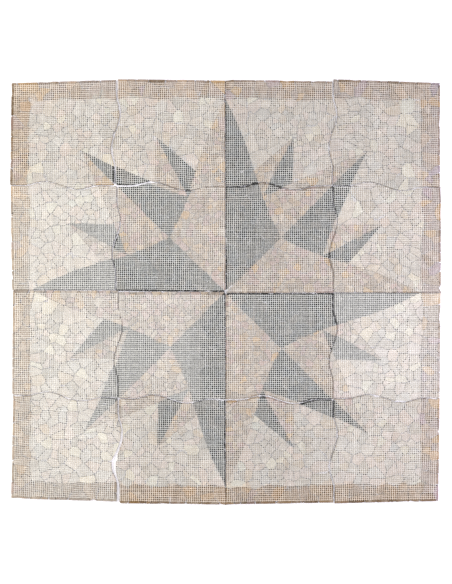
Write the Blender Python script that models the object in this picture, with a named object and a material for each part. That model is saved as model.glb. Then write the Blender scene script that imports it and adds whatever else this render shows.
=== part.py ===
"""Marble mosaic medallion: sixteen net-backed sheets of broken marble, laid as four rows of four.

The panel lies flat with its net side up. X runs to the right, Y up the picture and Z out of the net.
The origin is below the middle of the panel, at the level of the finished face, which is underneath.
All sizes are in metres.
"""

import bmesh
import bpy
import numpy as np

# Sheets
ROWS = 4
COLUMNS = 4
SHEET_PITCH_X = 0.300
SHEET_PITCH_Y = 0.298
SEAM_GAP = 0.004
STONE_THICKNESS = 0.010

# The S-shaped edges that let neighbouring sheets key into each other
WAVY_LINES = (1, 3)
WAVE_HEIGHT = 0.012
WAVE_START = 0.14
WAVE_END = 0.84
WAVE_STEPS = 14
WAVE_FLATNESS = 4

# Net of glass-fibre threads on the back of each sheet
NET_CLEARANCE = 0.0003
THREAD_THICKNESS = 0.0008
THREAD_WIDTH = 0.0024
THREADS_SHOWN = 3

# Joints between the stones that draw the picture. Each stops short of a joint that it runs into.
JOINT_WIDTH = 0.0024
JOINT_DEPTH = 0.0020
JOINT_STOP = 0.003
JOINT_STOP_ROOT = 0.007
JOINT_STOP_TIP = 0.012

# Border and compass star, measured from the middle of the panel
BORDER_WIDTH = 0.052
MAIN_TIP = 0.539
MAIN_SHOULDER = 0.154
MAIN_EDGE_SWAY = 0.006
DIAGONAL_TIP = 0.396
DIAGONAL_HOLLOW_GREY = 0.007
DIAGONAL_HOLLOW_TAN = 0.003
SMALL_TIP = (0.191, 0.435)
EDGE_STEPS = 6

# Corners closer than this are one corner
WELD_DISTANCE = 0.00005

# Where the edges of the smaller rays meet those of the larger, as shares of the larger ray's edge
DIAGONAL_ROOT_SHARE = 0.69
SMALL_ROOT_MAIN_SHARE = 0.52
SMALL_ROOT_DIAGONAL_SHARE = 0.29

# How far each corner of a sheet lies from an even grid, in millimetres to the right and up:
# top left, top right, bottom right, bottom left.
MILLIMETRE = 0.001
LAID = {
    (0, 0): ((-3, -8), (-5, 1), (-11, 1), (-7, 1)),
    (0, 1): ((-5, 3), (-1, -1), (-1, -3), (-12, 3)),
    (0, 2): ((-1, 1), (1, -3), (1, 0), (0, -3)),
    (0, 3): ((2, 3), (4, -8), (4, -5), (0, 0)),
    (1, 0): ((-6, 0), (-5, 0), (-9, 5), (-2, 4)),
    (1, 1): ((-5, -4), (-1, -4), (-1, 0), (-9, 3)),
    (1, 2): ((1, -2), (2, 0), (3, -2), (1, -3)),
    (1, 3): ((2, 0), (7, -4), (6, -3), (3, -2)),
    (2, 0): ((0, 5), (-1, 4), (-2, 0), (-1, 8)),
    (2, 1): ((-1, 0), (-1, 0), (0, -4), (-2, -2)),
    (2, 2): ((0, -4), (3, -4), (2, -4), (0, -5)),
    (2, 3): ((3, -3), (6, -3), (3, 0), (2, -2)),
    (3, 0): ((1, 8), (-1, 0), (-4, 5), (-4, 14)),
    (3, 1): ((-2, -2), (-1, -5), (0, -3), (0, 0)),
    (3, 2): ((0, -6), (2, -4), (3, 2), (0, -3)),
    (3, 3): ((2, -2), (3, 0), (-1, 6), (6, 0)),
}

# Where a sheet's side has lost stones: middle and half length along the side, and depth
HOLLOWS = {
    (3, 0, "right"): (0.64, 0.17, 0.005),
}

STONE_COLOUR = (0.66, 0.60, 0.53, 1.0)
NET_COLOUR = (0.86, 0.85, 0.82, 1.0)


def wave(t):
    """Height of the S-shaped edge, from -1 to 1, at the share t of a side: one sine with soft ends."""
    u = np.clip((t - WAVE_START) / (WAVE_END - WAVE_START), 0.0, 1.0)
    return np.sin(2 * np.pi * u) * (1 - (2 * u - 1) ** WAVE_FLATNESS)


def sheet_corners(row, column):
    """The four corners of a sheet as laid: top left, top right, bottom right, bottom left."""
    centre = np.array([(column - (COLUMNS - 1) / 2) * SHEET_PITCH_X, ((ROWS - 1) / 2 - row) * SHEET_PITCH_Y])
    half = np.array([SHEET_PITCH_X - SEAM_GAP, SHEET_PITCH_Y - SEAM_GAP]) / 2
    signs = np.array([(-1, 1), (1, 1), (1, -1), (-1, -1)])
    return centre + signs * half + np.array(LAID[row, column]) * MILLIMETRE


def on_sheet(row, column, u, v):
    """The point at the shares u (to the right) and v (down) of a sheet's four-cornered outline."""
    top_left, top_right, bottom_right, bottom_left = sheet_corners(row, column)
    top = top_left + (top_right - top_left) * u
    bottom = bottom_left + (bottom_right - bottom_left) * u
    return top + (bottom - top) * v


def side_point(row, column, side, t):
    """The point at the share t of a sheet's side, read to the right or down."""
    upright = side in ("left", "right")
    line = {"left": column, "right": column + 1, "top": row, "bottom": row + 1}[side]
    fixed = 1.0 if side in ("right", "bottom") else 0.0
    point = on_sheet(row, column, fixed, t) if upright else on_sheet(row, column, t, fixed)
    outwards = np.array([1.0, 0.0]) if upright else np.array([0.0, 1.0])
    if line in WAVY_LINES:
        point = point + outwards * WAVE_HEIGHT * wave(t)
    if (row, column, side) in HOLLOWS:
        middle, reach, depth = HOLLOWS[row, column, side]
        inwards = -outwards if side in ("right", "top") else outwards
        share = np.clip(abs(t - middle) / reach, 0.0, 1.0)
        point = point + inwards * depth * np.cos(share * np.pi / 2) ** 2
    return point


def side_stations(row, column, side):
    """The shares of a side at which its outline has a point: its ends, and steps along its wave."""
    line = {"left": column, "right": column + 1, "top": row, "bottom": row + 1}[side]
    if line in WAVY_LINES:
        return [0.0, *np.linspace(WAVE_START, WAVE_END, WAVE_STEPS + 1), 1.0]
    return [0.0, 1.0]


def sheet_outline(row, column):
    """The outline of a sheet, anticlockwise from its top left corner."""
    outline = []
    for side, backwards in (("left", False), ("bottom", False), ("right", True), ("top", True)):
        stations = side_stations(row, column, side)
        if backwards:
            stations = stations[::-1]
        outline += [side_point(row, column, side, t) for t in stations[:-1]]
    return outline


def quarter_turn(points, turns):
    """The points turned clockwise about the middle of the panel by a number of quarter turns."""
    for _ in range(turns):
        points = [np.array([y, -x]) for x, y in points]
    return points


def mirrored(points):
    """The points mirrored across the diagonal that runs up to the right."""
    return [np.array([y, x]) for x, y in points]


def curved(start, end, offset):
    """Points from start to end that stand to the left of the straight line by offset(t)."""
    start, end = np.array(start), np.array(end)
    along = end - start
    left = np.array([-along[1], along[0]]) / np.hypot(*along)
    return [start + along * t + left * offset(t) for t in np.linspace(0, 1, EDGE_STEPS + 1)]


def swayed(start, end, sway):
    """A line that swings by sway to its left in its first half and as far to its right in the second."""
    return curved(start, end, lambda t: sway * np.sin(2 * np.pi * t))


def hollowed(start, end, depth):
    """A line that sinks by depth to its right at its middle, as a shallow parabola."""
    return curved(start, end, lambda t: -depth * 4 * t * (1 - t))


def partway(line, share):
    """The point at a share of a chain of evenly spaced points."""
    stations = np.linspace(0, 1, len(line))
    return np.array([np.interp(share, stations, [point[axis] for point in line]) for axis in (0, 1)])


def shortened(line, start_stop, end_stop):
    """A chain of points with its first and last points drawn in by the two lengths."""
    line = [np.array(point) for point in line]
    first, last = line[1] - line[0], line[-2] - line[-1]
    line[0] = line[0] + first / np.hypot(*first) * start_stop
    line[-1] = line[-1] + last / np.hypot(*last) * end_stop
    return line


def star_lines():
    """The lines that part the stones of the star, for the quarter between its top and right rays."""
    middle = np.zeros(2)
    shoulder = np.array([MAIN_SHOULDER, MAIN_SHOULDER])
    tip = np.array([DIAGONAL_TIP, DIAGONAL_TIP])
    small_tip = np.array(SMALL_TIP)
    main_edge = swayed((0.0, MAIN_TIP), shoulder, MAIN_EDGE_SWAY)
    root = partway(main_edge, DIAGONAL_ROOT_SHARE)
    small_root = partway(main_edge, SMALL_ROOT_MAIN_SHARE)
    tan_edge = hollowed(root, tip, DIAGONAL_HOLLOW_TAN)
    grey_edge = hollowed(root, tip, DIAGONAL_HOLLOW_GREY)
    small_on_tan = partway(tan_edge, SMALL_ROOT_DIAGONAL_SHARE)
    small_on_grey = partway(grey_edge, SMALL_ROOT_DIAGONAL_SHARE)
    small_middle = shortened([small_tip, root], JOINT_STOP_TIP, JOINT_STOP_ROOT)
    return [
        main_edge + mirrored(main_edge)[-2::-1],
        shortened([middle, shoulder], JOINT_STOP_ROOT, JOINT_STOP_ROOT),
        shortened([shoulder, tip], JOINT_STOP_ROOT, JOINT_STOP_TIP),
        shortened(tan_edge + mirrored(grey_edge)[-2::-1], JOINT_STOP, JOINT_STOP),
        shortened([small_root, small_tip, small_on_tan], JOINT_STOP, JOINT_STOP),
        small_middle,
        mirrored(shortened([small_root, small_tip, small_on_grey], JOINT_STOP, JOINT_STOP)),
        mirrored(small_middle),
    ]


def border_lines():
    """The inner edges of the border, one for each side of the panel."""
    right = COLUMNS * SHEET_PITCH_X / 2 - BORDER_WIDTH
    top = ROWS * SHEET_PITCH_Y / 2 - BORDER_WIDTH
    corners = [np.array(corner) for corner in ((-right, top), (right, top), (right, -top), (-right, -top))]
    return [shortened([corners[i], corners[(i + 1) % 4]], 0.0, JOINT_STOP) for i in range(4)]


def picture_lines():
    """All lines of the picture as chains of points, on an evenly laid panel."""
    return [quarter_turn(line, turns) for turns in range(4) for line in star_lines()] + border_lines()


def shares_of_sheet(row, column, point):
    """The shares u and v of a sheet's place on the even grid at which a point of the panel lies."""
    left = (column - COLUMNS / 2) * SHEET_PITCH_X
    top = (ROWS / 2 - row) * SHEET_PITCH_Y
    return (point[0] - left) / SHEET_PITCH_X, (top - point[1]) / SHEET_PITCH_Y


def crosses_sheet(row, column, shares):
    """Whether a chain of pairs of shares runs over a sheet, its wavy edges included."""
    reach = 1.5 * WAVE_HEIGHT / min(SHEET_PITCH_X, SHEET_PITCH_Y)
    inset = JOINT_WIDTH / min(SHEET_PITCH_X, SHEET_PITCH_Y)
    lows = [-reach if line in WAVY_LINES else inset for line in (column, row)]
    highs = [1 + reach if line in WAVY_LINES else 1 - inset for line in (column + 1, row + 1)]
    return any(
        all(min(a, b) < high and max(a, b) > low for a, b, low, high in zip(start, end, lows, highs))
        for start, end in zip(shares[:-1], shares[1:])
    )


def object_from(bm, name, material):
    """A new object in the scene from a bmesh, with its faces turned outwards."""
    bmesh.ops.recalc_face_normals(bm, faces=bm.faces)
    mesh = bpy.data.meshes.new(name)
    bm.to_mesh(mesh)
    bm.free()
    if material:
        mesh.materials.append(material)
    piece = bpy.data.objects.new(name, mesh)
    bpy.context.collection.objects.link(piece)
    return piece


def raise_faces(bm, height):
    """Extrudes every face of a flat bmesh upwards, which closes it into one solid."""
    grown = bmesh.ops.extrude_face_region(bm, geom=list(bm.faces), use_keep_orig=True)
    top = [part for part in grown["geom"] if isinstance(part, bmesh.types.BMVert)]
    bmesh.ops.translate(bm, verts=top, vec=(0.0, 0.0, height))


def joint_sections(chain):
    """V-shaped sections along a chain of points, mitred at its bends."""
    chain = np.array(chain)
    stretches = np.diff(chain, axis=0)
    directions = stretches / np.linalg.norm(stretches, axis=1)[:, None]
    before = np.vstack([directions[:1], directions])
    after = np.vstack([directions, directions[-1:]])
    mitre = before + after
    mitre /= np.linalg.norm(mitre, axis=1)[:, None]
    widening = 1 / np.sum(mitre * before, axis=1)
    above = JOINT_DEPTH / 2
    half_width = JOINT_WIDTH / 2 * (JOINT_DEPTH + above) / JOINT_DEPTH
    across = np.column_stack([-mitre[:, 1], mitre[:, 0]]) * (half_width * widening)[:, None]
    for point, offset in zip(chain, across):
        yield (*point, STONE_THICKNESS - JOINT_DEPTH)
        yield (*(point + offset), STONE_THICKNESS + above)
        yield (*(point - offset), STONE_THICKNESS + above)


def joint_cutter(row, column):
    """V-shaped troughs along the picture's lines that cross a sheet, shifted with it."""
    bm = bmesh.new()
    for line in picture_lines():
        shares = [shares_of_sheet(row, column, point) for point in line]
        if not crosses_sheet(row, column, shares):
            continue
        chain = [on_sheet(row, column, u, v) for u, v in shares]
        corners = [bm.verts.new(corner) for corner in joint_sections(chain)]
        bm.faces.new(corners[:3])
        bm.faces.new(corners[-3:])
        for first in range(0, len(corners) - 3, 3):
            for a, b in ((0, 1), (1, 2), (2, 0)):
                bm.faces.new([corners[first + i] for i in (a, b, b + 3, a + 3)])
    cutter = object_from(bm, f"joints_row{row + 1}_col{column + 1}", None)
    cutter.hide_render = True
    cutter.display_type = "WIRE"
    return cutter


def stone_sheet(row, column, material):
    """One sheet's layer of stones, fused, with the joints that draw the picture cut into its back."""
    bm = bmesh.new()
    bm.faces.new([bm.verts.new((*point, 0.0)) for point in sheet_outline(row, column)])
    raise_faces(bm, STONE_THICKNESS)
    piece = object_from(bm, f"stones_row{row + 1}_col{column + 1}", material)
    cut = piece.modifiers.new("joints", "BOOLEAN")
    cut.operation = "DIFFERENCE"
    cut.solver = "EXACT"
    cut.use_self = True
    cut.object = joint_cutter(row, column)
    weld = piece.modifiers.new("weld", "WELD")
    weld.merge_threshold = WELD_DISTANCE
    return piece


def net_sheet(row, column, material):
    """One sheet's net: a few of its threads each way, fused where they cross and cut at the outline."""
    middles = (np.arange(THREADS_SHOWN) + 1) / (THREADS_SHOWN + 1)
    across = THREAD_WIDTH / 2 / SHEET_PITCH_X
    down = THREAD_WIDTH / 2 / SHEET_PITCH_Y
    columns = [0.0, *np.ravel([(m - across, m + across) for m in middles]), 1.0]
    rows = [0.0, *np.ravel([(m - down, m + down) for m in middles]), 1.0]
    last = len(columns) - 1
    bm = bmesh.new()
    level = STONE_THICKNESS + NET_CLEARANCE
    points = {}

    def vertex(i, j):
        """The net's corner at column line i and row line j, moved out to the sheet's edge at an end."""
        if (i, j) not in points:
            u, v = columns[i], rows[j]
            if i in (0, last):
                place = side_point(row, column, "right" if i else "left", v)
            elif j in (0, last):
                place = side_point(row, column, "bottom" if j else "top", u)
            else:
                place = on_sheet(row, column, u, v)
            points[i, j] = bm.verts.new((*place, level))
        return points[i, j]

    for i in range(last):
        for j in range(last):
            if i % 2 or j % 2:
                bm.faces.new([vertex(i, j), vertex(i, j + 1), vertex(i + 1, j + 1), vertex(i + 1, j)])
    raise_faces(bm, THREAD_THICKNESS)
    return object_from(bm, f"net_row{row + 1}_col{column + 1}", material)


def principled(name, colour, roughness):
    """A plain material with the part's colour."""
    material = bpy.data.materials.new(name)
    material.use_nodes = True
    shader = material.node_tree.nodes["Principled BSDF"]
    shader.inputs["Base Color"].default_value = colour
    shader.inputs["Roughness"].default_value = roughness
    shader.inputs["Metallic"].default_value = 0.0
    material.diffuse_color = colour
    return material


def main():
    """Clears the scene and builds the sixteen sheets and their nets."""
    for leftover in list(bpy.data.objects):
        bpy.data.objects.remove(leftover, do_unlink=True)
    marble = principled("broken_marble", STONE_COLOUR, 0.55)
    fibre = principled("glass_fibre_net", NET_COLOUR, 0.6)
    for row in range(ROWS):
        for column in range(COLUMNS):
            stone_sheet(row, column, marble)
            net_sheet(row, column, fibre)


main()
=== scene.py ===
"""Looks of the marble mosaic medallion: every stone of its sixteen sheets, and the nets on their backs.

Stones and threads are worked out on the evenly laid panel, where the picture's lines are straight and
exact, and are then moved to where each packed sheet lies. X runs to the right, Y up the picture and Z
out of the net. All sizes are in metres.
"""

import bpy
import numpy as np
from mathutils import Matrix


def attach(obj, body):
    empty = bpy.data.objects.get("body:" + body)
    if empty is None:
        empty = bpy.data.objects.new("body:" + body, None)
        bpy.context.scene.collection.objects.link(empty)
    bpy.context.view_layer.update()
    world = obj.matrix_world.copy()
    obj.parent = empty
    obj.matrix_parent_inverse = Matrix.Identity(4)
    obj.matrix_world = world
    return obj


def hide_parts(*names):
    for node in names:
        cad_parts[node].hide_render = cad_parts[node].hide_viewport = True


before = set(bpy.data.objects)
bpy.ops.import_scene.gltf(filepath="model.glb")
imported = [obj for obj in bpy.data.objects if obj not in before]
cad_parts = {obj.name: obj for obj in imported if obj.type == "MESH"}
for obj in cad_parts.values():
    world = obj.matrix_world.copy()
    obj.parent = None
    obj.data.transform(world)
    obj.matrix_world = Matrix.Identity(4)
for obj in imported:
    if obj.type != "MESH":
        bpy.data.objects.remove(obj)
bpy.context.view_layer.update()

# Sheets
ROWS = 4
COLUMNS = 4
SHEET_PITCH_X = 0.300
SHEET_PITCH_Y = 0.298
STONE_THICKNESS = 0.010
LAYING_STEPS = 8
ROW_SEED = 100

# Border and compass star, measured from the middle of the panel
BORDER_WIDTH = 0.052
BORDER_UNEVENNESS = 0.0030
BORDER_STRETCH = 0.024
BORDER_SHIFT = 0.3
BORDER_SEED = 7
MAIN_TIP = 0.539
MAIN_SHOULDER = 0.154
MAIN_EDGE_SWAY = 0.006
DIAGONAL_TIP = 0.396
DIAGONAL_HOLLOW_GREY = 0.007
DIAGONAL_HOLLOW_TAN = 0.003
SMALL_TIP = (0.191, 0.435)
EDGE_STEPS = 6
DIAGONAL_ROOT_SHARE = 0.69
SMALL_ROOT_MAIN_SHARE = 0.52
SMALL_ROOT_DIAGONAL_SHARE = 0.29
TINY = 1e-6

# Kinds of stone: the side of a square as large as the usual stone, and the record's material slot
CREAM, TAN, GREY, BORDER = range(4)
KIND_NAMES = ("cream", "tan", "grey", "border")
STONE_SIZES = (0.0250, 0.0165, 0.0165, 0.0260)
SLOTS = ("cream_marble", "tan_marble", "grey_marble", "tan_marble")

# Breaking the stones
RASTER_STEP = 0.002
RASTER_START = (0.50, 0.37)
EVENING = 0.5
OUTLINE_REACH = 0.016
LEAST_REGION = 0.00002
HIDDEN_BY = 0.0025
HIDDEN_APART = 0.010
JOINT_LEAST = 0.0002
JOINT_MOST = 0.0020
PICTURE_SLACK = (0.0000, 0.0003)
EDGE_SLACK = (-0.0006, 0.0002)
LINE_OVERLAP = 0.0005
FAN = 96
CORNERS = 14
NEIGHBOURS = 14
ROUNDING = 40.0
LEAST_RADIUS = 0.0012
LEAST_TURNING = 0.05
WEAR = 0.03
CHIPS = 0.06
CHIP_DEPTH = (0.12, 0.30)
ARRIS = 0.0006
CHAMFER = 0.0004
LEAST_RING = 0.3
TOP_LEVEL = 0.0098
TOP_TILT = 0.018
TOP_ROUGHNESS = 0.00012

# How far the stones on both sides of a seam reach into it, in millimetres: the seams that run up, for each
# row and from the left, and the seams that run across, from the top and for each column
UPRIGHT_SEAM_REACH = ((-0.7, 1.5, 0.4), (0.5, 2.2, 1.2), (1.4, 1.6, 1.3), (-0.5, 1.6, 1.2))
LEVEL_SEAM_REACH = ((1.2, 2.6, 0.9, 0.8), (1.2, 1.9, 2.1, 1.6), (0.8, 0.9, 0.8, 1.1))

# Net
THREADS = 52
THREAD_WIDTH = 0.00150
THREAD_HEIGHT = 0.0006
THREAD_LEVEL = 0.0101
WEAVE = 0.00016
THREAD_WANDER = 0.00010
THREAD_SHIFT = 0.00020
THREAD_WIDTH_CHANGE = 0.12
THREAD_TONE_CHANGE = 0.05
THREAD_END_SLACK = 0.0012
THREAD_END_SHARES = (-0.3, 1.0)
END_CLEARANCE = 0.15
NET_TRIM = 0.0036
OUTER_NET_TRIM = ((0.0045, 0.0030), (0.0045, 0.0030))
TRIM_FALL = 8
NET_WAVES = 3
NET_WAVE_RATE = 6.0
NET_SWAY = 0.00045
HUE_SHARE = 0.29
WETTING = 0.08

# Sheets, as (row, column), whose net leaves a strip of stones bare along a side: the axis across that side,
# 0 for its low end or 1 for its high end, and the strip's width
BARE_STRIPS = {
    (2, 3): [(1, 1, 0.0020)], (3, 1): [(1, 1, 0.0045)], (3, 2): [(1, 1, 0.0050)],
    (3, 3): [(0, 0, 0.0035)], (4, 1): [(0, 1, 0.0030)], (4, 3): [(1, 1, 0.0030)],
}

# Photograph and stage
PHOTO_SIZE = (452, 584)
METRES_PER_PIXEL = 0.002808
PANEL_MIDDLE_PIXEL = (225.6, 291.8)
CAMERA_HEIGHT = 4.0
SENSOR_HEIGHT = 0.036
FLOOR_REACH = 4.0
FLOOR_LEVEL = -0.0002

# Light. The floor is lit this much brighter than the white of the picture. Lamps are given by their place,
# size, watts and colour.
OVERLIGHT = 1.35
SKY_STRENGTH = 0.28
WARM_WHITE = (1.0, 0.996, 0.875)
COOL_WHITE = (0.985, 0.965, 1.08)
LAMPS = (
    ((-1.55, 0.45, 1.5), 0.8, 15.3, WARM_WHITE), ((1.55, 0.35, 1.5), 0.8, 13.6, COOL_WHITE),
    ((1.55, -0.35, 1.5), 0.8, 14.0, COOL_WHITE), ((-1.55, -0.45, 1.5), 0.8, 14.6, WARM_WHITE),
    ((-0.1, 0.1, 5.0), 2.4, 170.0, (1.0, 1.0, 1.0)),
)


def linear(red, green, blue):
    """Linear light of a tone as it is seen, from 0 to 255, brought down by what the light adds."""
    tone = np.array([red, green, blue]) / 255
    light = np.where(tone <= 0.04045, tone / 12.92, ((tone + 0.055) / 1.055) ** 2.4)
    return light / OVERLIGHT


# Tones of each kind of stone as they are seen, with how often each comes. The threads are a little brighter
# than the white of the picture.
TONES = {
    CREAM: [
        ((179, 170, 161), 6), ((175, 168, 161), 4), ((182, 169, 161), 4),
        ((164, 156, 147), 2), ((194, 187, 173), 2), ((174, 161, 146), 1),
    ],
    TAN: [
        ((151, 139, 129), 5), ((156, 137, 132), 4), ((160, 143, 125), 3),
        ((135, 123, 112), 3), ((170, 158, 146), 2), ((167, 142, 112), 1),
    ],
    GREY: [
        ((36, 36, 35), 6), ((28, 29, 29), 4), ((48, 47, 46), 3), ((20, 21, 22), 3), ((74, 72, 70), 1),
    ],
    BORDER: [
        ((128, 107, 87), 5), ((120, 101, 85), 4), ((137, 114, 90), 3),
        ((104, 84, 63), 3), ((141, 111, 75), 2), ((126, 104, 96), 1),
    ],
}
THREAD_TONE = (262, 261, 259)
STONE_LIGHT_CHANGE = 0.06
STONE_WARMTH_CHANGE = 0.02
STONE_SPECULAR = 0.2
PATTERN_SHIFT = 40.0

# Sheets, as (row, column), that dried adhesive makes paler, and the lightness of the sheets that differ,
# partly from their own stone and partly as painted light and shade for the light falling unevenly across the
# panel
PALE_SHEETS = ((2, 1), (3, 1), (3, 2), (3, 4), (4, 1))
PALE_FILM = 0.14
FILM_START = 0.05
SHEET_TONE_AND_PAINTED_LIGHT = {
    (1, 1): 1.02, (1, 3): 0.92, (1, 4): 0.92, (2, 1): 1.04, (2, 3): 0.92, (3, 1): 1.04, (3, 2): 1.03,
    (3, 3): 0.985, (3, 4): 1.04, (4, 1): 1.04, (4, 2): 0.98, (4, 3): 0.93,
}

# What the border's tones are multiplied by along each side of the panel: partly the border's own tones,
# partly painted light and shade for how the light falls on that side
BORDER_LEFT_HUE_AND_PAINTED_LIGHT = (1.0, 1.0, 0.94)
BORDER_RIGHT_HUE_AND_PAINTED_LIGHT = (1.26, 1.42, 1.85)
BORDER_BOTTOM_HUE_AND_PAINTED_LIGHT = (0.80, 0.79, 0.75)
BORDER_TOP_HUE_AND_PAINTED_LIGHT = (1.20, 1.32, 1.58)

# The stones are painted paler towards the panel's rim: painted light for the bare stone lit along the edge
RIM = 0.006
RIM_PAINTED_LIGHT = 0.35


# The picture, on the evenly laid panel

def quarter_turned(points, turns):
    """The points turned clockwise about the middle of the panel by a number of quarter turns."""
    points = np.asarray(points, float)
    for _ in range(turns % 4):
        points = np.column_stack([points[:, 1], -points[:, 0]])
    return points


def mirrored(points):
    """The points mirrored across the diagonal that runs up to the right."""
    return np.asarray(points)[:, ::-1]


def curved(start, end, offset):
    """Points from start to end that stand to the left of the straight line by offset(t)."""
    start, end = np.array(start), np.array(end)
    along = end - start
    left = np.array([-along[1], along[0]]) / np.hypot(*along)
    t = np.linspace(0, 1, EDGE_STEPS + 1)[:, None]
    return start + along * t + left * offset(t)


def hollowed(start, end, depth):
    """A line that sinks by depth to its right at its middle, as a shallow parabola."""
    return curved(start, end, lambda t: -depth * 4 * t * (1 - t))


def partway(line, share):
    """The point at a share of a chain of evenly spaced points."""
    stations = np.linspace(0, 1, len(line))
    return np.array([np.interp(share, stations, line[:, axis]) for axis in (0, 1)])


def part_of(line, start, end):
    """The stretch of a chain of evenly spaced points between two of its shares."""
    stations = np.linspace(0, 1, len(line))
    kept = line[(stations > start) & (stations < end)]
    return np.vstack([partway(line, start), kept, partway(line, end)])


MIDDLE = np.zeros(2)
SHOULDER = np.array([MAIN_SHOULDER, MAIN_SHOULDER])
TIP = np.array([DIAGONAL_TIP, DIAGONAL_TIP])
MAIN_EDGE = curved((0.0, MAIN_TIP), SHOULDER, lambda t: MAIN_EDGE_SWAY * np.sin(2 * np.pi * t))
ROOT = partway(MAIN_EDGE, DIAGONAL_ROOT_SHARE)
TAN_EDGE = hollowed(ROOT, TIP, DIAGONAL_HOLLOW_TAN)
GREY_EDGE = hollowed(ROOT, TIP, DIAGONAL_HOLLOW_GREY)


def small_ray(diagonal_edge):
    """Both halves of the small ray beside the top ray: the one at that ray, the one at diagonal_edge."""
    near = part_of(MAIN_EDGE, SMALL_ROOT_MAIN_SHARE, DIAGONAL_ROOT_SHARE)
    far = part_of(diagonal_edge, 0.0, SMALL_ROOT_DIAGONAL_SHARE)
    return np.vstack([near, [SMALL_TIP]]), np.vstack([far[::-1], [SMALL_TIP]])


def star_regions():
    """The star's parts in the quarter between its top and right rays, as (kind, outline)."""
    inner_edge = part_of(MAIN_EDGE, DIAGONAL_ROOT_SHARE, 1.0)
    beside_top, beside_diagonal = small_ray(TAN_EDGE)
    beside_right, under_diagonal = small_ray(GREY_EDGE)
    return [
        (GREY, np.vstack([MIDDLE, MAIN_EDGE])),
        (TAN, np.vstack([MIDDLE, mirrored(MAIN_EDGE)])),
        (TAN, np.vstack([TAN_EDGE, inner_edge[::-1]])),
        (GREY, mirrored(np.vstack([GREY_EDGE, inner_edge[::-1]]))),
        (TAN, beside_top),
        (GREY, beside_diagonal),
        (GREY, mirrored(beside_right)),
        (TAN, mirrored(under_diagonal)),
    ]


def border_inner_edge():
    """The uneven inner edge of the border: a rectangle whose sides waver where one stone meets the next."""
    half = np.array([COLUMNS * SHEET_PITCH_X, ROWS * SHEET_PITCH_Y]) / 2 - BORDER_WIDTH
    random = np.random.default_rng(BORDER_SEED)
    corners = half * np.array([(1, 1), (-1, 1), (-1, -1), (1, -1)])
    edge = []
    for start, end in zip(corners, np.roll(corners, -1, axis=0)):
        along = end - start
        count = int(np.hypot(*along) / BORDER_STRETCH)
        t = (np.arange(count) + random.uniform(-BORDER_SHIFT, BORDER_SHIFT, count))[:, None] / count
        across = np.array([-along[1], along[0]]) / np.hypot(*along)
        edge.append(start + along * t + across * random.normal(0, BORDER_UNEVENNESS, (count, 1)))
    return np.vstack(edge)


STAR = star_regions()
BORDER_EDGE = border_inner_edge()


def in_outline(points, outline):
    """Whether each point lies in a closed outline: a line to its right crosses it an odd number of times."""
    start, end = outline, np.roll(outline, -1, axis=0)
    x, y = points[:, :1], points[:, 1:]
    spans = (start[:, 1] > y) != (end[:, 1] > y)
    rise = np.where(end[:, 1] == start[:, 1], 1.0, end[:, 1] - start[:, 1])
    crossing = start[:, 0] + (y - start[:, 1]) * (end[:, 0] - start[:, 0]) / rise
    return np.sum(spans & (x < crossing), axis=1) % 2 == 1


def regions_at(points):
    """The number and the kind of the part of the picture at each point of the even panel.

    A point is turned back into the top right quarter and looked up among the parts of the star there.
    """
    number = np.zeros(len(points), int)
    kind = np.full(len(points), CREAM)
    for turns in range(4):
        back = quarter_turned(points, 4 - turns)
        quarter = (back[:, 0] >= 0) & (back[:, 1] > 0)
        for i, (part_kind, outline) in enumerate(STAR):
            inside = quarter & in_outline(back, outline)
            number[inside] = 1 + turns * len(STAR) + i
            kind[inside] = part_kind
    outside = ~in_outline(points, BORDER_EDGE)
    number[outside] = 1 + 4 * len(STAR)
    kind[outside] = BORDER
    return number, kind


def picture_lines():
    """Starts and ends of the straight stretches that part the picture's regions, save on the middle seams."""
    outlines = [quarter_turned(outline, turns) for turns in range(4) for _, outline in STAR]
    outlines.append(BORDER_EDGE)
    starts = np.vstack(outlines)
    ends = np.vstack([np.roll(outline, -1, axis=0) for outline in outlines])
    long_enough = np.hypot(*(ends - starts).T) > TINY
    on_seam = np.any((np.abs(starts) < TINY) & (np.abs(ends) < TINY), axis=1)
    kept = long_enough & ~on_seam
    return starts[kept], ends[kept]


PICTURE_STARTS, PICTURE_ENDS = picture_lines()


# Sheets as they lie

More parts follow.
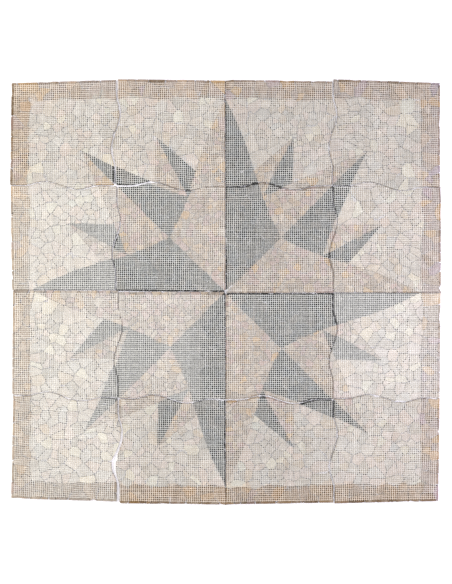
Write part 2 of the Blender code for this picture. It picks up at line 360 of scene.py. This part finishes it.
class Sheet:
    """One sheet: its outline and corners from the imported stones, and the way from the even panel to it."""

    def __init__(self, row, column):
        self.row, self.column = row, column
        self.name = f"row{row + 1}_col{column + 1}"
        self.random = np.random.default_rng(ROW_SEED * row + column)
        place = (row + 1, column + 1)
        self.film = PALE_FILM if place in PALE_SHEETS else 0.0
        # The sheet's lightness is partly its own stone and partly painted light and shade.
        self.lightness = SHEET_TONE_AND_PAINTED_LIGHT.get(place, 1.0)
        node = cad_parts[f"stones_{self.name}"]
        points = np.empty(len(node.data.vertices) * 3)
        node.data.vertices.foreach_get("co", points)
        points = points.reshape(-1, 3)
        face = np.unique(np.round(points[points[:, 2] < ARRIS, :2], 6), axis=0)
        middle = (face.min(axis=0) + face.max(axis=0)) / 2
        angle = np.arctan2(*(face - middle).T[::-1])
        outline = face[np.argsort(angle)]
        ways = np.array([(-1, 1), (1, 1), (1, -1), (-1, -1)])
        self.corners = outline[np.argmax(outline @ ways.T, axis=0)]
        self.low = np.array([column - COLUMNS / 2, ROWS / 2 - row - 1]) * (SHEET_PITCH_X, SHEET_PITCH_Y)
        self.outline = self.on_even_panel(outline)

    def laid(self, points):
        """Moves points of the even panel to the sheet: blends its four corners by the point's two shares."""
        share = (np.asarray(points) - self.low) / (SHEET_PITCH_X, SHEET_PITCH_Y)
        u, down = share[..., :1], 1 - share[..., 1:]
        top_left, top_right, bottom_right, bottom_left = self.corners
        top = top_left + (top_right - top_left) * u
        bottom = bottom_left + (bottom_right - bottom_left) * u
        return top + (bottom - top) * down

    def on_even_panel(self, points):
        """The way back, by steps that each take off what laid() still misses by."""
        guess = points.copy()
        for _ in range(LAYING_STEPS):
            guess += points - self.laid(guess)
        return guess

    def side_reach(self):
        """How far the stones reach over the sheet's left, right, bottom and top side."""
        upright = (0.0, *UPRIGHT_SEAM_REACH[self.row], 0.0)
        level = (0.0, *(seam[self.column] for seam in LEVEL_SEAM_REACH), 0.0)
        reach = (upright[self.column], upright[self.column + 1], level[self.row + 1], level[self.row])
        return np.array(reach) / 1000

    def edge_reach(self):
        """How far the stones reach over each stretch of the outline."""
        middles = (self.outline + np.roll(self.outline, -1, axis=0)) / 2
        u, v = ((middles - self.low) / (SHEET_PITCH_X, SHEET_PITCH_Y)).T
        return self.side_reach()[np.argmin([u, 1 - u, v, 1 - v], axis=0)]


# Breaking a sheet into stones

def raster_of(sheet):
    """A fine raster of points in the sheet's outline, and their regions and kinds."""
    pitch = np.array([SHEET_PITCH_X, SHEET_PITCH_Y])
    low, high = sheet.low - OUTLINE_REACH, sheet.low + pitch + OUTLINE_REACH
    low = low + np.array(RASTER_START) * RASTER_STEP
    x, y = np.meshgrid(np.arange(low[0], high[0], RASTER_STEP), np.arange(low[1], high[1], RASTER_STEP))
    raster = np.column_stack([x.ravel(), y.ravel()])
    raster = raster[in_outline(raster, sheet.outline)]
    return raster, *regions_at(raster)


def seeds_of(sheet, raster, number, kind):
    """The stones' middles on the even panel, and their regions and kinds.

    Each region gets as many random points of a fine raster as it has room for stones. Each point is then
    moved part of the way to the middle of the raster points nearest to it, which evens the stones out.
    """
    seeds, numbers, kinds = [], [], []
    for region in np.unique(number):
        points = raster[number == region]
        area = len(points) * RASTER_STEP ** 2
        if area < LEAST_REGION:
            continue
        region_kind = kind[number == region][0]
        count = max(1, round(area / STONE_SIZES[region_kind] ** 2))
        middles = points[sheet.random.choice(len(points), count, replace=False)]
        nearest = np.argmin(np.sum((points[:, None] - middles) ** 2, axis=2), axis=1)
        held = np.maximum(np.bincount(nearest, minlength=count), 1)
        sums = [np.bincount(nearest, points[:, axis], minlength=count) for axis in (0, 1)]
        even = np.column_stack(sums) / held[:, None]
        seeds.append(middles + (even - middles) * EVENING)
        numbers.append(np.full(count, region))
        kinds.append(np.full(count, region_kind))
    return np.vstack(seeds), np.concatenate(numbers), np.concatenate(kinds)


FAN_ANGLES = np.linspace(0, 2 * np.pi, FAN, endpoint=False)
FAN_WAYS = np.column_stack([np.cos(FAN_ANGLES), np.sin(FAN_ANGLES)])


def room_to_neighbours(seeds, numbers, random):
    """How far each way of the fan runs from a seed to the joints with its neighbours in the same region.

    Each pair of neighbours has a joint of its own width, more often a narrow one.
    """
    loose = np.tril(random.random((len(seeds), len(seeds))))
    joints = JOINT_LEAST + (JOINT_MOST - JOINT_LEAST) * (loose + loose.T) ** 2
    gaps = seeds[None] - seeds[:, None]
    distances = np.hypot(gaps[..., 0], gaps[..., 1])
    distances[(numbers[:, None] != numbers) | (distances == 0)] = np.inf
    nearest = np.argsort(distances, axis=1)[:, :NEIGHBOURS]
    distances = np.take_along_axis(distances, nearest, axis=1)
    joints = np.take_along_axis(joints, nearest, axis=1)
    gaps = np.take_along_axis(gaps, nearest[..., None], axis=1)
    facing = (gaps / distances[..., None]) @ FAN_WAYS.T
    room = np.where(np.isinf(distances), 1.0, distances / 2 - joints / 2)
    return np.where(facing > TINY, room[..., None] / np.maximum(facing, TINY), 1.0)


def room_to_lines(seeds, starts, ends, slack):
    """How far each way of the fan runs from a seed to straight lines, less the slack of seed and line."""
    along = ends - starts
    lengths = np.hypot(*along.T)
    along = along / lengths[:, None]
    across = np.column_stack([-along[:, 1], along[:, 0]])
    to_start = starts[None] - seeds[:, None]
    offset = np.sum(to_start * across, axis=2)
    back = np.sum(to_start * along, axis=2)
    facing = np.sign(offset)[..., None] * (across @ FAN_WAYS.T)
    steep = np.maximum(facing, TINY)
    hit = np.abs(offset)[..., None] / steep * (along @ FAN_WAYS.T) - back[..., None]
    on_line = (facing > TINY) & (hit > -LINE_OVERLAP) & (hit < lengths[:, None] + LINE_OVERLAP)
    room = (np.abs(offset) - slack)[..., None] / steep
    return np.where(on_line, room, 1.0)


def stone_radii(sheet, seeds, numbers):
    """How far each stone reaches each way of the fan.

    Every radius is a soft minimum of the room to neighbours, picture lines and the sheet's edge:
    the power mean sum(r ** -ROUNDING) ** (-1 / ROUNDING).
    """
    near = np.all((np.minimum(PICTURE_STARTS, PICTURE_ENDS) < sheet.outline.max(axis=0))
                  & (np.maximum(PICTURE_STARTS, PICTURE_ENDS) > sheet.outline.min(axis=0)), axis=1)
    edge_ends = np.roll(sheet.outline, -1, axis=0)
    edge_slack = sheet.random.uniform(*EDGE_SLACK, (len(seeds), 1)) - sheet.edge_reach()
    picture_slack = sheet.random.uniform(*PICTURE_SLACK, (len(seeds), 1))
    room = np.concatenate([
        room_to_neighbours(seeds, numbers, sheet.random),
        room_to_lines(seeds, PICTURE_STARTS[near], PICTURE_ENDS[near], picture_slack),
        room_to_lines(seeds, sheet.outline, edge_ends, edge_slack),
    ], axis=1)
    room = np.maximum(room, LEAST_RADIUS)
    return LEAST_RADIUS * np.sum((LEAST_RADIUS / room) ** ROUNDING, axis=1) ** (-1 / ROUNDING)


def hidden_spots(raster, number, seeds, numbers, radii):
    """Raster points that no stone reaches, as where a ray's tip lies between them and the nearest seed.

    A point is hidden when it lies further from its region's nearest seed than that stone reaches its way.
    Of points that are close together, one is taken.
    """
    distances = np.sqrt(np.sum((raster[:, None] - seeds) ** 2, axis=2))
    distances[number[:, None] != numbers] = np.inf
    owner = np.argmin(distances, axis=1)
    distance = distances[np.arange(len(raster)), owner]
    away = raster - seeds[owner]
    way = np.rint(np.arctan2(away[:, 1], away[:, 0]) / (2 * np.pi) * FAN).astype(int) % FAN
    hidden = np.flatnonzero(np.isfinite(distance) & (distance > radii[owner, way] + HIDDEN_BY))
    spots = []
    while len(hidden):
        spot = hidden[len(hidden) // 2]
        spots.append(spot)
        hidden = hidden[np.hypot(*(raster[hidden] - raster[spot]).T) > HIDDEN_APART]
    return np.array(spots, int)


def stone_outlines(sheet, seeds, radii):
    """Outlines of all stones of a sheet, CORNERS points each, anticlockwise.

    The corners are picked from the fan so that each stands for the same share of the outline's turning.
    All corners are a little worn, some chipped.
    """
    points = radii[..., None] * FAN_WAYS
    steps = np.roll(points, -1, axis=1) - points
    headings = np.arctan2(steps[..., 1], steps[..., 0])
    turning = np.abs((headings - np.roll(headings, 1, axis=1) + np.pi) % (2 * np.pi) - np.pi)
    turning = sum(np.roll(turning, shift, axis=1) for shift in (-1, 0, 1)) + LEAST_TURNING
    turned = np.cumsum(turning, axis=1) / np.sum(turning, axis=1, keepdims=True)
    wanted = (np.arange(CORNERS) + 0.5) / CORNERS
    picked = np.sum(turned[:, None] < wanted[:, None], axis=2)
    order = np.arange(CORNERS)
    picked = np.maximum.accumulate(picked - order, axis=1) + order
    picked = np.minimum(picked, FAN - CORNERS + order)
    corners = np.take_along_axis(points, picked[..., None], axis=1)
    worn = sheet.random.uniform(0, WEAR, corners.shape[:2])
    chipped = sheet.random.random(corners.shape[:2]) < CHIPS
    worn[chipped] = sheet.random.uniform(*CHIP_DEPTH, chipped.sum())
    return seeds[:, None] + corners * (1 - worn[..., None])


def stone_points(sheet, outlines, middles):
    """Corners of the stones' solids: four rings of an outline and a point on top, for each stone.

    The rings are the arris of the finished face, the two ends of the sides, and the edge of the back. A
    ring that stands in by d has every point d nearer to the stone's middle. The back slopes by a small
    random tilt and is a little uneven.
    """
    from_middle = outlines - middles[:, None]
    radius = np.hypot(from_middle[..., 0], from_middle[..., 1])[..., None]
    count, corners = outlines.shape[:2]
    rings = []
    tilt = sheet.random.uniform(-TOP_TILT, TOP_TILT, (count, 1, 2))
    top = TOP_LEVEL + np.sum(from_middle * tilt, axis=2, keepdims=True)
    top = top + sheet.random.uniform(-TOP_ROUGHNESS, TOP_ROUGHNESS, top.shape)
    for inset, level in ((ARRIS, 0 * top), (0, 0 * top + ARRIS), (0, top - CHAMFER), (CHAMFER, top)):
        shrunk = middles[:, None] + from_middle * np.maximum(1 - inset / radius, LEAST_RING)
        rings.append(np.concatenate([shrunk, level], axis=2))
    rise = sheet.random.uniform(0, TOP_ROUGHNESS, (count, 1, 1))
    rings.append(np.concatenate([middles[:, None], TOP_LEVEL + rise], axis=2))
    return np.concatenate(rings, axis=1)


def stone_faces(corners):
    """Faces of one stone: its face below, three bands of sides and a fan on its back, facing outwards."""
    i = np.arange(corners)
    after = (i + 1) % corners
    faces = [i[::-1]]
    for ring in range(3):
        low, high = ring * corners, (ring + 1) * corners
        faces += list(np.column_stack([low + i, low + after, high + after, high + i]))
    top = 3 * corners
    faces += list(np.column_stack([top + i, top + after, np.full(corners, 4 * corners)]))
    return faces


STONE_FACES = stone_faces(CORNERS)


# Net

def net_outline(sheet):
    """Where the net is cut: the edge of the sheet's stones, with its four sides drawn in.

    Each end of a side has a trim of its own, more often a small one, so that the cut can slant. A point at
    shares u and v of the sheet moves in from the left by trim * (1 - u) ** TRIM_FALL, and likewise from the
    others.
    """
    share = (sheet.outline - sheet.low) / (SHEET_PITCH_X, SHEET_PITCH_Y)
    trims = NET_TRIM * sheet.random.random((2, 2, 2)) ** 2
    outer = np.array([
        [sheet.column == 0, sheet.column == COLUMNS - 1],
        [sheet.row == ROWS - 1, sheet.row == 0],
    ])
    trims += (OUTER_NET_TRIM * outer - sheet.side_reach().reshape(2, 2))[..., None]
    for axis, side, trim in BARE_STRIPS.get((sheet.row + 1, sheet.column + 1), ()):
        trims[axis, side] += trim
    outline = sheet.outline.copy()
    for axis in (0, 1):
        across, along = np.clip(share[:, axis], 0, 1), share[:, 1 - axis]
        for side, (weight, way) in enumerate((((1 - across) ** TRIM_FALL, 1), (across ** TRIM_FALL, -1))):
            first, last = trims[axis, side]
            outline[:, axis] += way * weight * (first + (last - first) * along)
    return outline


def net_sway(sheet):
    """A smooth sideways pull of the net, as a function of place: a sum of a few long sine waves."""
    rates = sheet.random.normal(0, NET_WAVE_RATE, (NET_WAVES, 2))
    phases = sheet.random.uniform(0, 2 * np.pi, NET_WAVES)
    pulls = sheet.random.normal(0, NET_SWAY, (NET_WAVES, 2))
    return lambda points: np.sin(2 * np.pi * (points @ rates.T) + phases) @ pulls


def thread_runs(sheet, outline, fixed_axis, count):
    """The threads of one direction as (number, place, start, end), from edge to edge of the net.

    A thread lies on a straight line of the even panel. Where the wavy outline crosses that line more than
    twice, the thread comes in several runs.
    """
    pitch = (SHEET_PITCH_X, SHEET_PITCH_Y)[fixed_axis] / count
    spare = int(OUTLINE_REACH / pitch) + 1
    start, end = outline, np.roll(outline, -1, axis=0)
    runs = []
    for number in range(-spare, count + spare):
        place = sheet.low[fixed_axis] + (number + 0.5) * pitch
        a, b = start[:, fixed_axis], end[:, fixed_axis]
        crossed = (a > place) != (b > place)
        share = (place - a[crossed]) / (b - a)[crossed]
        other = start[crossed, 1 - fixed_axis]
        hits = np.sort(other + (end[crossed, 1 - fixed_axis] - other) * share)
        runs += [(number, place, low, high) for low, high in zip(hits[0::2], hits[1::2])]
    return runs


def thread_points(sheet, run, fixed_axis, cross_count):
    """Middle line, heights and widths of one run of a thread, with a point at every thread it crosses.

    Heights go over and under by turns, as cos(pi (i + j)) at the crossing of threads i and j.
    """
    number, place, low, high = run
    pitch = (SHEET_PITCH_X, SHEET_PITCH_Y)[1 - fixed_axis] / cross_count
    low += sheet.random.uniform(*THREAD_END_SHARES) * THREAD_END_SLACK
    high -= sheet.random.uniform(*THREAD_END_SHARES) * THREAD_END_SLACK
    if high - low < pitch:
        return None
    base = sheet.low[1 - fixed_axis]
    first = np.ceil((low - base) / pitch - 0.5 + END_CLEARANCE)
    last = np.floor((high - base) / pitch - 0.5 - END_CLEARANCE)
    crossings = np.arange(first, last + 1)
    along = np.concatenate([[low], base + (crossings + 0.5) * pitch, [high]])
    order = np.concatenate([[first - 1], crossings, [last + 1]])
    wander = sheet.random.normal(0, THREAD_SHIFT) + sheet.random.normal(0, THREAD_WANDER, len(along))
    points = np.empty((len(along), 2))
    points[:, fixed_axis] = place + wander
    points[:, 1 - fixed_axis] = along
    way = 1 if fixed_axis == 0 else -1
    heights = THREAD_LEVEL + WEAVE * (1 + way * np.cos(np.pi * (order + number)))
    widths = THREAD_WIDTH * (1 + sheet.random.uniform(-1, 1) * THREAD_WIDTH_CHANGE
                             + sheet.random.uniform(-1, 1, len(along)) * THREAD_WIDTH_CHANGE)
    return points, heights, widths


def thread_solid(points, heights, widths):
    """Corners and faces of a thread with a three-sided section: a flat base and a ridge along its middle."""
    along = np.gradient(points, axis=0)
    along /= np.hypot(along[:, 0], along[:, 1])[:, None]
    right = np.column_stack([along[:, 1], -along[:, 0]]) * widths[:, None] / 2
    count = len(points)
    corners = np.empty((count, 3, 3))
    corners[:, 0, :2], corners[:, 1, :2], corners[:, 2, :2] = points - right, points + right, points
    corners[:, :2, 2] = heights[:, None]
    corners[:, 2, 2] = heights + THREAD_HEIGHT
    first = np.arange(count - 1)[:, None] * 3
    quads = [first + np.array([a, b, b + 3, a + 3]) for a, b in ((0, 2), (2, 1), (1, 0))]
    end = 3 * (count - 1)
    return corners.reshape(-1, 3), np.vstack(quads), np.array([(0, 1, 2), (end, end + 2, end + 1)])


# Making meshes and pieces

def new_mesh(name, points, faces, smooth=False):
    """A mesh from an array of corners and a list of (faces of one size) arrays."""
    mesh = bpy.data.meshes.new(name)
    loops = np.concatenate([face.ravel() for face in faces])
    sizes = np.concatenate([np.full(len(face), face.shape[1]) for face in faces])
    mesh.vertices.add(len(points))
    mesh.vertices.foreach_set("co", points.ravel())
    mesh.loops.add(len(loops))
    mesh.loops.foreach_set("vertex_index", loops.astype(np.int32))
    mesh.polygons.add(len(sizes))
    mesh.polygons.foreach_set("loop_start", np.concatenate([[0], np.cumsum(sizes)[:-1]]).astype(np.int32))
    mesh.polygons.foreach_set("use_smooth", np.full(len(sizes), smooth))
    mesh.update(calc_edges=True)
    mesh.validate()
    return mesh


def colour_attribute(mesh, name, colours):
    """Stores a colour for each corner point of a mesh."""
    attribute = mesh.attributes.new(name, "FLOAT_COLOR", "POINT")
    attribute.data.foreach_set("color", np.column_stack([colours, np.ones(len(colours))]).ravel())


def new_piece(mesh, material, slot, *nodes):
    """A finished piece: it rides on the panel and stands for its nodes, which are hidden. The slot is not
    used.
    """
    mesh.materials.append(material)
    piece = bpy.data.objects.new(mesh.name, mesh)
    bpy.context.scene.collection.objects.link(piece)
    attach(piece, "root")
    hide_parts(*nodes)
    return piece


# Materials

class Nodes:
    """Short ways to add and join the nodes of one material."""

    def __init__(self, name):
        self.material = bpy.data.materials.new(name)
        self.material.use_nodes = True
        self.tree = self.material.node_tree
        self.shader = self.tree.nodes["Principled BSDF"]

    def add(self, kind, settings=None, **inputs):
        """A node with its settings, and its inputs set to values or joined to other nodes' outputs."""
        node = self.tree.nodes.new(f"ShaderNode{kind}")
        for key, value in (settings or {}).items():
            setattr(node, key, value)
        for key, value in inputs.items():
            self.put(node, key, value)
        return node

    def put(self, node, key, value):
        """Sets or joins one input, named in words or by number after an underscore."""
        socket = node.inputs[int(key[1:])] if key[1:].isdigit() else node.inputs[key.replace("_", " ")]
        if isinstance(value, bpy.types.NodeSocket):
            self.tree.links.new(value, socket)
        else:
            socket.default_value = value

    def noise(self, place, scale, detail=3.0, roughness=0.5):
        """The value of a noise."""
        return self.add("TexNoise", Vector=place, Scale=scale, Detail=detail, Roughness=roughness).outputs[0]

    def ranged(self, value, low, high, to_low, to_high):
        """A value carried smoothly from one range to another and kept in it."""
        node = self.add("MapRange", {"interpolation_type": "SMOOTHSTEP"}, Value=value, From_Min=low,
                        From_Max=high, To_Min=to_low, To_Max=to_high)
        return node.outputs[0]

    def maths(self, operation, a, b=0.0):
        """A sum on two values."""
        return self.add("Math", {"operation": operation}, _0=a, _1=b).outputs[0]

    def mixed(self, share, a, b, blend="MIX"):
        """Two colours mixed."""
        node = self.add("Mix", {"data_type": "RGBA", "blend_type": blend}, _0=share, _6=a, _7=b)
        return node.outputs[2]


def marble(name, mottle, vein_tone, vein_share, vein_scale, roughness, haze_share):
    """Broken marble: each stone's own tone, clouded and veined, with a haze of dried adhesive.

    The clouds are a noise of about 12 mm. Veins are the thin zone where another noise is near its middle.
    Each stone shifts the pattern, so that it ends at the joint.
    """
    nodes = Nodes(name)
    tone = nodes.add("Attribute", {"attribute_name": "stone_tone"}).outputs["Color"]
    shift = nodes.add("Attribute", {"attribute_name": "stone_shift"}).outputs["Fac"]
    place = nodes.add("TexCoord").outputs["Object"]
    apart = nodes.add("CombineXYZ", X=shift, Y=nodes.maths("MULTIPLY", shift, 1.7), Z=shift).outputs[0]
    own = nodes.add("VectorMath", {"operation": "ADD"}, _0=place, _1=apart).outputs[0]
    clouds = nodes.noise(own, 85.0, 4.0, 0.6)
    grain = nodes.noise(own, 900.0, 2.0, 0.6)
    shade = nodes.ranged(clouds, 0.3, 0.7, 1 - mottle, 1 + mottle)
    shade = nodes.maths("MULTIPLY", shade, nodes.ranged(grain, 0.25, 0.75, 0.93, 1.07))
    shades = nodes.add("CombineXYZ", X=shade, Y=shade, Z=shade).outputs[0]
    colour = nodes.mixed(1.0, tone, shades, "MULTIPLY")
    wander = nodes.noise(own, vein_scale, 5.0, 0.55)
    vein = nodes.maths("ABSOLUTE", nodes.maths("SUBTRACT", wander, 0.5))
    vein = nodes.ranged(vein, 0.0, 0.028, vein_share, 0.0)
    colour = nodes.mixed(vein, colour, (*linear(*vein_tone), 1.0))
    haze = nodes.ranged(nodes.noise(place, 60.0, 5.0, 0.65), 0.46, 0.74, 0.0, haze_share)
    colour = nodes.mixed(haze, colour, (*linear(*THREAD_TONE), 1.0))
    nodes.put(nodes.shader, "Base Color", colour)
    nodes.put(nodes.shader, "Roughness", nodes.ranged(grain, 0.3, 0.7, roughness - 0.1, roughness + 0.1))
    nodes.put(nodes.shader, "Metallic", 0.0)
    nodes.put(nodes.shader, "Specular IOR Level", STONE_SPECULAR)
    pits = nodes.noise(own, 420.0, 4.0, 0.65)
    height = nodes.maths("ADD", pits, nodes.maths("MULTIPLY", clouds, 1.5))
    bump = nodes.add("Bump", Strength=0.5, Distance=0.0005, Height=height)
    nodes.put(nodes.shader, "Normal", bump.outputs[0])
    return nodes.material


def glass_fibre():
    """Bundles of white glass fibre soaked with adhesive: each stretch's tone, fine strands and a film."""
    nodes = Nodes("glass_fibre")
    tone = nodes.add("Attribute", {"attribute_name": "thread_tone"}).outputs["Color"]
    place = nodes.add("TexCoord").outputs["Object"]
    strands = nodes.noise(place, 1600.0, 2.0, 0.6)
    shade = nodes.ranged(strands, 0.3, 0.7, 0.90, 1.06)
    film = nodes.ranged(nodes.noise(place, 34.0, 5.0, 0.65), 0.3, 0.7, 0.92, 1.05)
    shade = nodes.maths("MULTIPLY", shade, film)
    shades = nodes.add("CombineXYZ", X=shade, Y=shade, Z=shade).outputs[0]
    nodes.put(nodes.shader, "Base Color", nodes.mixed(1.0, tone, shades, "MULTIPLY"))
    nodes.put(nodes.shader, "Roughness", 0.5)
    nodes.put(nodes.shader, "Metallic", 0.0)
    bump = nodes.add("Bump", Strength=0.4, Distance=0.0002, Height=strands)
    nodes.put(nodes.shader, "Normal", bump.outputs[0])
    return nodes.material


def plain_floor():
    """Plain floor, white with a faint lilac tint and a trace of unevenness; the lilac tint is painted shade
    colour for the floor in the shaded gaps.
    """
    nodes = Nodes("floor_white")
    place = nodes.add("TexCoord").outputs["Object"]
    # The lilac tint is painted shade colour, which shows where the floor lies in shade in the gaps.
    colour = nodes.mixed(nodes.noise(place, 3.0), (0.92, 0.90, 0.96, 1), (0.94, 0.92, 0.98, 1))
    nodes.put(nodes.shader, "Base Color", colour)
    nodes.put(nodes.shader, "Roughness", 0.9)
    return nodes.material


# Each marble's name, mottle, vein tone, share and scale, roughness and share of haze
MARBLES = {
    CREAM: marble("cream_marble", 0.07, (178, 158, 134), 0.35, 38.0, 0.8, 0.20),
    TAN: marble("tan_marble", 0.10, (150, 118, 92), 0.40, 60.0, 0.75, 0.20),
    GREY: marble("grey_marble", 0.16, (168, 166, 160), 0.35, 70.0, 0.75, 0.05),
    BORDER: marble("border_marble", 0.11, (156, 122, 96), 0.40, 45.0, 0.75, 0.20),
}
GLASS_FIBRE = glass_fibre()


# Pieces of each sheet

def stone_tones(sheet, seeds, kinds):
    """A tone for each stone, drawn from its kind's tones and varied a little in lightness and warmth.

    The border is darker along the bottom and greyer at the top and the right, partly in its own stone and
    partly as painted light and shade. A film of adhesive makes some sheets paler, save near the upright line
    through the panel's middle. Each sheet's lightness, partly painted light and shade, then scales all its
    stones.
    """
    tones = np.empty((len(kinds), 3))
    for kind in np.unique(kinds):
        chosen = kinds == kind
        colours = np.array([linear(*colour) for colour, _ in TONES[kind]])
        often = np.array([weight for _, weight in TONES[kind]], float)
        drawn = sheet.random.choice(len(colours), chosen.sum(), p=often / often.sum())
        light = sheet.random.normal(1.0, STONE_LIGHT_CHANGE, (chosen.sum(), 1))
        warmth = sheet.random.normal(0.0, STONE_WARMTH_CHANGE, (chosen.sum(), 1)) * np.array([1.0, 0.0, -1.0])
        tones[chosen] = colours[drawn] * (light + warmth)
    x, y = seeds.T
    # Border tones change by side, partly as painted light and shade.
    for hue, nearness in (
        (BORDER_LEFT_HUE_AND_PAINTED_LIGHT, -x), (BORDER_RIGHT_HUE_AND_PAINTED_LIGHT, x), (BORDER_BOTTOM_HUE_AND_PAINTED_LIGHT, -y), (BORDER_TOP_HUE_AND_PAINTED_LIGHT, y),
    ):
        tones[(kinds == BORDER) & (nearness >= np.maximum(np.abs(x), np.abs(y)))] *= hue
    from_middle = np.clip(np.abs(seeds[:, :1]) / FILM_START - 1, 0, 1)
    tones += (linear(*THREAD_TONE) - tones) * sheet.film * from_middle
    # Each sheet's lightness, partly painted light and shade, scales all its stones.
    return np.clip(tones * sheet.lightness, 0.0, 1.0)


def painted_rim_light(outlines):
    """How much paler each corner of the outlines is painted, as painted light on the lit bare edge: most on
    the panel's rim, nothing at RIM from it.
    """
    half = np.array([COLUMNS * SHEET_PITCH_X, ROWS * SHEET_PITCH_Y]) / 2
    inwards = np.min(half - np.abs(outlines), axis=2)
    return 1 + RIM_PAINTED_LIGHT * np.clip(1 - inwards / RIM, 0, 1)


def lay_stones(sheet):
    """Makes the sheet's stones, one piece for each kind, and returns the stones' middles and tones."""
    raster, number, kind = raster_of(sheet)
    seeds, numbers, kinds = seeds_of(sheet, raster, number, kind)
    radii = stone_radii(sheet, seeds, numbers)
    spots = hidden_spots(raster, number, seeds, numbers, radii)
    seeds = np.vstack([seeds, raster[spots]])
    numbers = np.concatenate([numbers, number[spots]])
    kinds = np.concatenate([kinds, kind[spots]])
    radii = stone_radii(sheet, seeds, numbers)
    outlines = stone_outlines(sheet, seeds, radii)
    middles = outlines.mean(axis=1)
    tones = stone_tones(sheet, seeds, kinds)
    solids = stone_points(sheet, sheet.laid(outlines), sheet.laid(middles))
    shifts = sheet.random.uniform(0, PATTERN_SHIFT, len(seeds))
    per_stone = solids.shape[1]
    # Corners near the panel's rim are painted paler, as painted light on the lit bare edge.
    paler = painted_rim_light(np.concatenate([outlines] * 4 + [middles[:, None]], axis=1))
    corner_tones = np.clip(tones[:, None] * paler[..., None], 0.0, 1.0)
    for kind in np.unique(kinds):
        chosen = kinds == kind
        count = chosen.sum()
        offsets = np.arange(count)[:, None] * per_stone
        faces = [np.vstack([face + offsets]) for face in STONE_FACES]
        name = f"{KIND_NAMES[kind]}_stones_{sheet.name}"
        mesh = new_mesh(name, solids[chosen].reshape(-1, 3), faces)
        colour_attribute(mesh, "stone_tone", corner_tones[chosen].reshape(-1, 3))
        shift = mesh.attributes.new("stone_shift", "FLOAT", "POINT")
        shift.data.foreach_set("value", np.repeat(shifts[chosen], per_stone).astype(np.float32))
        new_piece(mesh, MARBLES[kind], SLOTS[kind], f"stones_{sheet.name}")
    return seeds, tones


def lay_net(sheet, seeds, tones):
    """Makes the sheet's net. A thread takes on the hue of the stone under it, and a little of its tone."""
    counts = [THREADS + sheet.random.integers(-1, 2) for _ in range(2)]
    outline = net_outline(sheet)
    sway = net_sway(sheet)
    points, quads, ends, undersides, lightness = [], [], [], [], []
    total = 0
    for axis in (0, 1):
        for run in thread_runs(sheet, outline, axis, counts[axis]):
            thread = thread_points(sheet, run, axis, counts[1 - axis])
            if thread is None:
                continue
            middle, heights, widths = thread
            middle = middle + sway(middle)
            corners, faces, caps = thread_solid(sheet.laid(middle), heights, widths)
            points.append(corners)
            quads.append(faces + total)
            ends.append(caps + total)
            undersides.append(np.repeat(middle, 3, axis=0))
            lightness.append(np.full(len(corners), sheet.random.normal(1.0, THREAD_TONE_CHANGE)))
            total += len(corners)
    mesh = new_mesh(f"net_threads_{sheet.name}", np.vstack(points), [np.vstack(quads), np.vstack(ends)], True)
    under = np.vstack(undersides)
    nearest = np.argmin(np.sum((under[:, None] - seeds) ** 2, axis=2), axis=1)
    hues = tones / tones.mean(axis=1, keepdims=True)
    dry = linear(*THREAD_TONE) * (1 + (hues[nearest] - 1) * HUE_SHARE)
    # Each sheet's lightness, partly painted light and shade, scales its threads as well.
    dry *= np.concatenate(lightness)[:, None] * sheet.lightness
    wet = dry * (1 - WETTING) + tones[nearest] * WETTING
    colour_attribute(mesh, "thread_tone", np.clip(wet, 0.0, 1.0))
    new_piece(mesh, GLASS_FIBRE, "glass_fibre_net", f"net_{sheet.name}")


for row in range(ROWS):
    for column in range(COLUMNS):
        laid_sheet = Sheet(row, column)
        stone_seeds, seed_tones = lay_stones(laid_sheet)
        lay_net(laid_sheet, stone_seeds, seed_tones)


# Stage, light and camera

def stage():
    """A plain white floor under the panel."""
    corners = FLOOR_REACH * np.array([(-1, -1, 0), (1, -1, 0), (1, 1, 0), (-1, 1, 0)])
    mesh = new_mesh("floor", corners, [np.array([(0, 1, 2, 3)])])
    mesh.materials.append(plain_floor())
    floor = bpy.data.objects.new("floor", mesh)
    bpy.context.scene.collection.objects.link(floor)
    floor.location.z = FLOOR_LEVEL


def lights():
    """A dim even sky, soft lamps to the left and the right and a wide one above that lights the gaps."""
    world = bpy.data.worlds.new("soft_sky")
    world.use_nodes = True
    background = world.node_tree.nodes["Background"]
    background.inputs["Color"].default_value = (1.0, 1.0, 1.0, 1.0)
    background.inputs["Strength"].default_value = SKY_STRENGTH
    bpy.context.scene.world = world
    for number, (place, size, watts, colour) in enumerate(LAMPS):
        lamp = bpy.data.lights.new(f"soft_lamp_{number + 1}", "AREA")
        lamp.shape = "SQUARE"
        lamp.size = size
        lamp.energy = watts
        lamp.color = colour
        light = bpy.data.objects.new(lamp.name, lamp)
        light.location = place
        light.rotation_euler = (-light.location).to_track_quat("-Z", "Y").to_euler()
        bpy.context.scene.collection.objects.link(light)


def camera():
    """A camera straight above, framed as the photograph."""
    width, height = PHOTO_SIZE
    data = bpy.data.cameras.new("camera")
    data.sensor_fit = "VERTICAL"
    data.sensor_height = SENSOR_HEIGHT * 1000
    distance = CAMERA_HEIGHT - STONE_THICKNESS
    data.lens = data.sensor_height * distance / (height * METRES_PER_PIXEL)
    eye = bpy.data.objects.new("camera", data)
    eye.location = (
        (width / 2 - PANEL_MIDDLE_PIXEL[0]) * METRES_PER_PIXEL,
        (PANEL_MIDDLE_PIXEL[1] - height / 2) * METRES_PER_PIXEL,
        CAMERA_HEIGHT,
    )
    bpy.context.scene.collection.objects.link(eye)
    bpy.context.scene.camera = eye


stage()
lights()
camera()
bpy.context.scene.view_settings.view_transform = "Standard"
